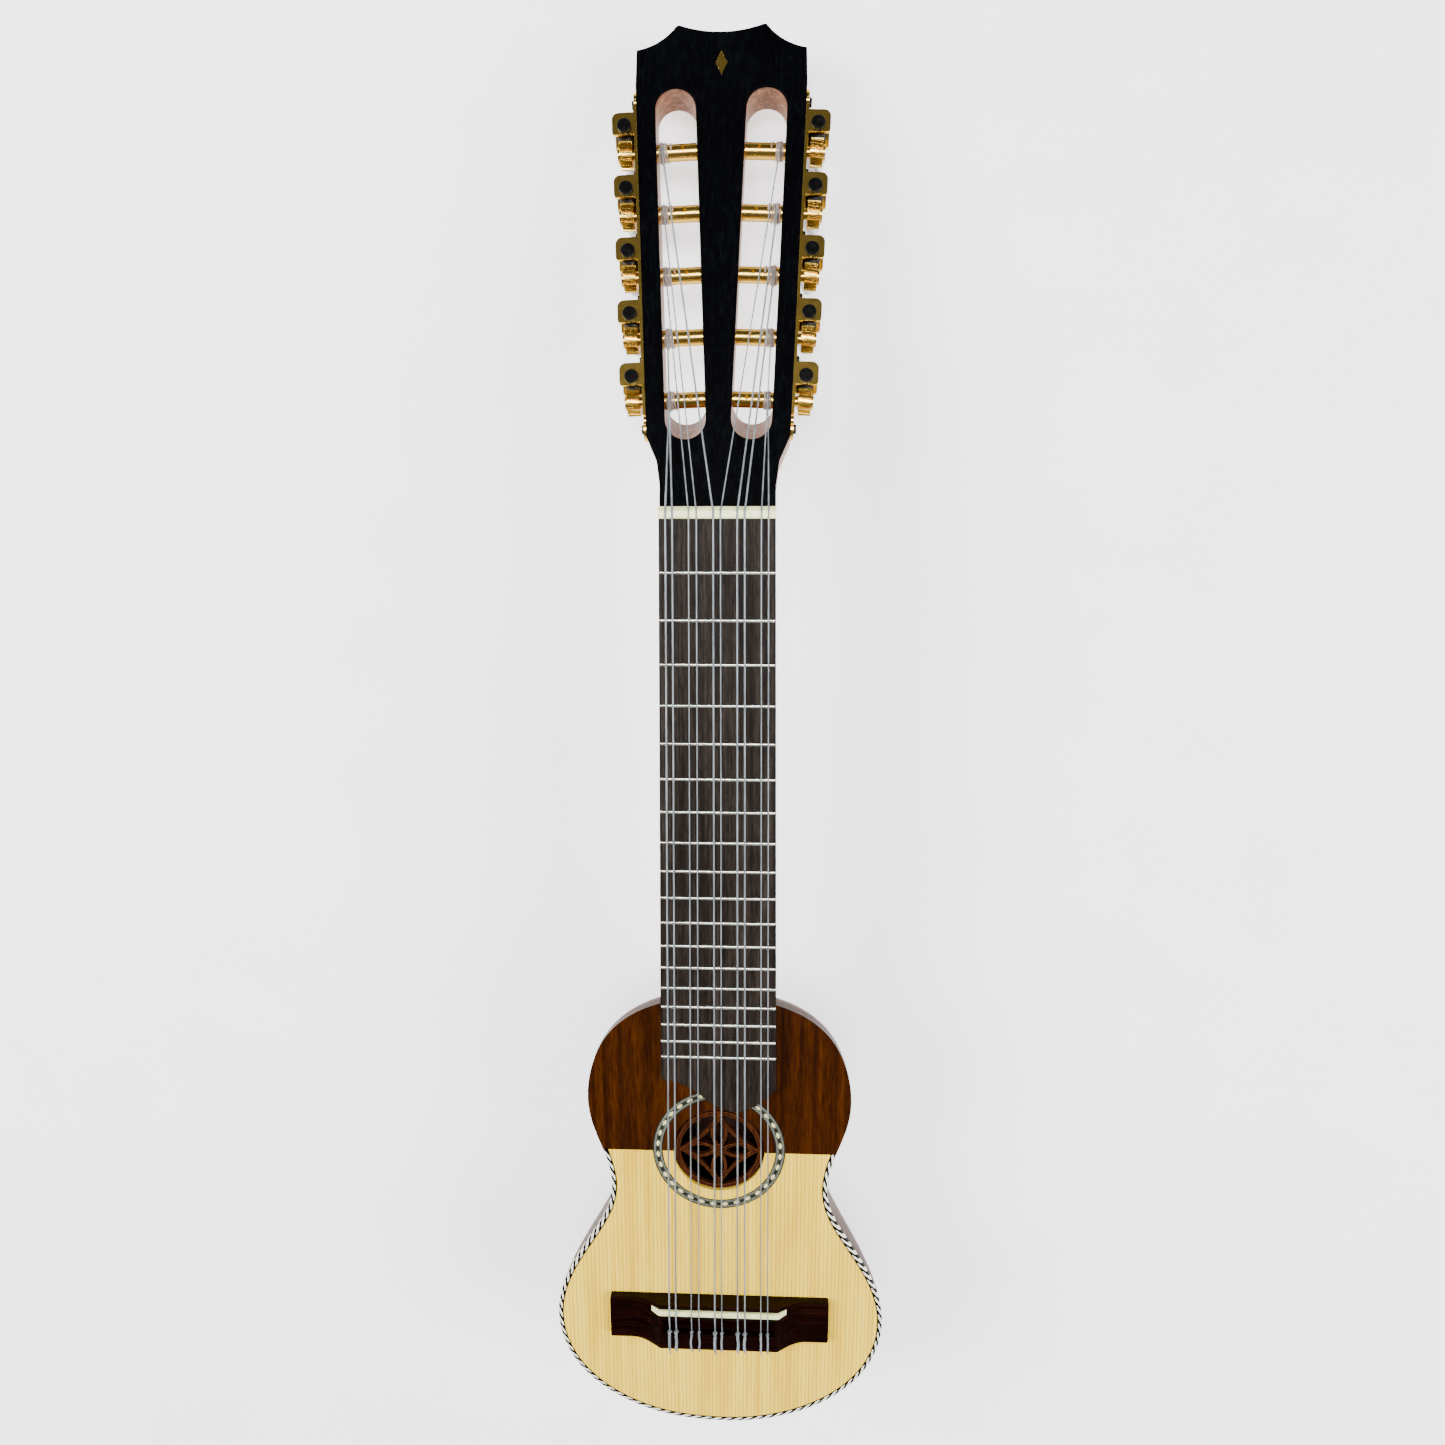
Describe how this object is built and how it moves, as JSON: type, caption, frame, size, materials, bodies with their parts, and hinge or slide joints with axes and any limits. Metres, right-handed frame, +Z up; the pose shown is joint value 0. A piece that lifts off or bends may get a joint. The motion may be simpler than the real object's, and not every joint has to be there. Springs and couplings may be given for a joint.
{
  "type": "charango",
  "caption": "Small bowl-backed lute of the Andes with double courses, a slotted head, worm-geared tuners, a two-tone soundboard, a carved soundhole grille and a rope-inlaid edge.",
  "frame": {"origin": "middle of the flat under the bowl, on which the instrument lies face up", "axes": "+Z up through the soundboard, +Y along the strings towards the head, +X to the right seen from above with the head at the top"},
  "size_m": [0.158, 0.6423, 0.0786],
  "materials": {
    "bowl_wood": "satin varnish",
    "spruce": "satin varnish",
    "dark_top": "gloss varnish",
    "rope_inlay": "flush inlay",
    "rosette_inlay": "flush inlay",
    "grille_wood": "satin",
    "brace_spruce": "raw",
    "neck_cedar": "satin varnish",
    "head_black": "satin",
    "fingerboard_wood": "oiled",
    "fret_metal": "polished",
    "bone": "polished",
    "bridge_rosewood": "oiled",
    "tuner_gold": "plated",
    "roller_gold": "plated",
    "black_screw": "black oxide",
    "worm_black": "black oxide",
    "pearl": "pearloid",
    "nylon": "clear nylon"
  },
  "bodies": {
    "instrument": {"bowl": "bowl_wood", "soundboard_lower": "spruce", "soundboard_upper": "dark_top", "rope_binding": "rope_inlay", "rosette_ring": "rosette_inlay", "soundhole_grille": "grille_wood", "top_braces": "brace_spruce", "neck": "neck_cedar", "head_veneer": "head_black", "fingerboard": "fingerboard_wood", "frets": "fret_metal", "nut": "bone", "bridge": "bridge_rosewood", "saddle": "bone", "tuner_plate_left": "tuner_gold", "tuner_plate_right": "tuner_gold", "plate_screws": "black_screw", "strings": "nylon"},
    "tuner_left_1": {"worm_left_1": "worm_black", "button_left_1": "pearl"},
    "post_left_1": {"gear_left_1": "tuner_gold", "roller_left_1": "roller_gold"},
    "tuner_left_2": {"worm_left_2": "worm_black", "button_left_2": "pearl"},
    "post_left_2": {"gear_left_2": "tuner_gold", "roller_left_2": "roller_gold"},
    "tuner_left_3": {"worm_left_3": "worm_black", "button_left_3": "pearl"},
    "post_left_3": {"gear_left_3": "tuner_gold", "roller_left_3": "roller_gold"},
    "tuner_left_4": {"worm_left_4": "worm_black", "button_left_4": "pearl"},
    "post_left_4": {"gear_left_4": "tuner_gold", "roller_left_4": "roller_gold"},
    "tuner_left_5": {"worm_left_5": "worm_black", "button_left_5": "pearl"},
    "post_left_5": {"gear_left_5": "tuner_gold", "roller_left_5": "roller_gold"},
    "tuner_right_1": {"worm_right_1": "worm_black", "button_right_1": "pearl"},
    "post_right_1": {"gear_right_1": "tuner_gold", "roller_right_1": "roller_gold"},
    "tuner_right_2": {"worm_right_2": "worm_black", "button_right_2": "pearl"},
    "post_right_2": {"gear_right_2": "tuner_gold", "roller_right_2": "roller_gold"},
    "tuner_right_3": {"worm_right_3": "worm_black", "button_right_3": "pearl"},
    "post_right_3": {"gear_right_3": "tuner_gold", "roller_right_3": "roller_gold"},
    "tuner_right_4": {"worm_right_4": "worm_black", "button_right_4": "pearl"},
    "post_right_4": {"gear_right_4": "tuner_gold", "roller_right_4": "roller_gold"},
    "tuner_right_5": {"worm_right_5": "worm_black", "button_right_5": "pearl"},
    "post_right_5": {"gear_right_5": "tuner_gold", "roller_right_5": "roller_gold"}
  },
  "joints": [
    {"name": "tuner_turn_left_1", "type": "hinge", "parent": "instrument", "child": "tuner_left_1", "pos_m": [-0.0357, 0.40127, 0.05022], "axis": [0, 0.2334, 0.9724], "range_deg": [-1440, 1440]},
    {"name": "post_turn_left_1", "type": "hinge", "parent": "instrument", "child": "post_left_1", "pos_m": [-0.03016, 0.39322, 0.05216], "axis": [0.9992, 0.0399, -0.0096], "range_deg": [-103.86, 103.86]},
    {"name": "tuner_turn_left_2", "type": "hinge", "parent": "instrument", "child": "tuner_left_2", "pos_m": [-0.03678, 0.42668, 0.04413], "axis": [0, 0.2334, 0.9724], "range_deg": [-1440, 1440]},
    {"name": "post_turn_left_2", "type": "hinge", "parent": "instrument", "child": "post_left_2", "pos_m": [-0.03123, 0.41863, 0.04606], "axis": [0.9992, 0.0399, -0.0096], "range_deg": [-103.86, 103.86]},
    {"name": "tuner_turn_left_3", "type": "hinge", "parent": "instrument", "child": "tuner_left_3", "pos_m": [-0.03785, 0.45209, 0.03803], "axis": [0, 0.2334, 0.9724], "range_deg": [-1440, 1440]},
    {"name": "post_turn_left_3", "type": "hinge", "parent": "instrument", "child": "post_left_3", "pos_m": [-0.0323, 0.44404, 0.03996], "axis": [0.9992, 0.0399, -0.0096], "range_deg": [-103.86, 103.86]},
    {"name": "tuner_turn_left_4", "type": "hinge", "parent": "instrument", "child": "tuner_left_4", "pos_m": [-0.03892, 0.47749, 0.03193], "axis": [0, 0.2334, 0.9724], "range_deg": [-1440, 1440]},
    {"name": "post_turn_left_4", "type": "hinge", "parent": "instrument", "child": "post_left_4", "pos_m": [-0.03338, 0.46944, 0.03386], "axis": [0.9992, 0.0399, -0.0096], "range_deg": [-103.86, 103.86]},
    {"name": "tuner_turn_left_5", "type": "hinge", "parent": "instrument", "child": "tuner_left_5", "pos_m": [-0.04, 0.5029, 0.02583], "axis": [0, 0.2334, 0.9724], "range_deg": [-1440, 1440]},
    {"name": "post_turn_left_5", "type": "hinge", "parent": "instrument", "child": "post_left_5", "pos_m": [-0.03445, 0.49485, 0.02776], "axis": [0.9992, 0.0399, -0.0096], "range_deg": [-103.86, 103.86]},
    {"name": "tuner_turn_right_1", "type": "hinge", "parent": "instrument", "child": "tuner_right_1", "pos_m": [0.0357, 0.40127, 0.05022], "axis": [0, 0.2334, 0.9724], "range_deg": [-1440, 1440]},
    {"name": "post_turn_right_1", "type": "hinge", "parent": "instrument", "child": "post_right_1", "pos_m": [0.03016, 0.39322, 0.05216], "axis": [0.9992, -0.0399, 0.0096], "range_deg": [-103.86, 103.86]},
    {"name": "tuner_turn_right_2", "type": "hinge", "parent": "instrument", "child": "tuner_right_2", "pos_m": [0.03678, 0.42668, 0.04413], "axis": [0, 0.2334, 0.9724], "range_deg": [-1440, 1440]},
    {"name": "post_turn_right_2", "type": "hinge", "parent": "instrument", "child": "post_right_2", "pos_m": [0.03123, 0.41863, 0.04606], "axis": [0.9992, -0.0399, 0.0096], "range_deg": [-103.86, 103.86]},
    {"name": "tuner_turn_right_3", "type": "hinge", "parent": "instrument", "child": "tuner_right_3", "pos_m": [0.03785, 0.45209, 0.03803], "axis": [0, 0.2334, 0.9724], "range_deg": [-1440, 1440]},
    {"name": "post_turn_right_3", "type": "hinge", "parent": "instrument", "child": "post_right_3", "pos_m": [0.0323, 0.44404, 0.03996], "axis": [0.9992, -0.0399, 0.0096], "range_deg": [-103.86, 103.86]},
    {"name": "tuner_turn_right_4", "type": "hinge", "parent": "instrument", "child": "tuner_right_4", "pos_m": [0.03892, 0.47749, 0.03193], "axis": [0, 0.2334, 0.9724], "range_deg": [-1440, 1440]},
    {"name": "post_turn_right_4", "type": "hinge", "parent": "instrument", "child": "post_right_4", "pos_m": [0.03338, 0.46944, 0.03386], "axis": [0.9992, -0.0399, 0.0096], "range_deg": [-103.86, 103.86]},
    {"name": "tuner_turn_right_5", "type": "hinge", "parent": "instrument", "child": "tuner_right_5", "pos_m": [0.04, 0.5029, 0.02583], "axis": [0, 0.2334, 0.9724], "range_deg": [-1440, 1440]},
    {"name": "post_turn_right_5", "type": "hinge", "parent": "instrument", "child": "post_right_5", "pos_m": [0.03445, 0.49485, 0.02776], "axis": [0.9992, -0.0399, 0.0096], "range_deg": [-103.86, 103.86]}
  ],
  "couplings": [
    {"joint": "post_turn_left_1", "follows": "tuner_turn_left_1", "ratio": -0.071429},
    {"joint": "post_turn_left_2", "follows": "tuner_turn_left_2", "ratio": -0.071429},
    {"joint": "post_turn_left_3", "follows": "tuner_turn_left_3", "ratio": -0.071429},
    {"joint": "post_turn_left_4", "follows": "tuner_turn_left_4", "ratio": -0.071429},
    {"joint": "post_turn_left_5", "follows": "tuner_turn_left_5", "ratio": -0.071429},
    {"joint": "post_turn_right_1", "follows": "tuner_turn_right_1", "ratio": -0.071429},
    {"joint": "post_turn_right_2", "follows": "tuner_turn_right_2", "ratio": -0.071429},
    {"joint": "post_turn_right_3", "follows": "tuner_turn_right_3", "ratio": -0.071429},
    {"joint": "post_turn_right_4", "follows": "tuner_turn_right_4", "ratio": -0.071429},
    {"joint": "post_turn_right_5", "follows": "tuner_turn_right_5", "ratio": -0.071429}
  ]
}
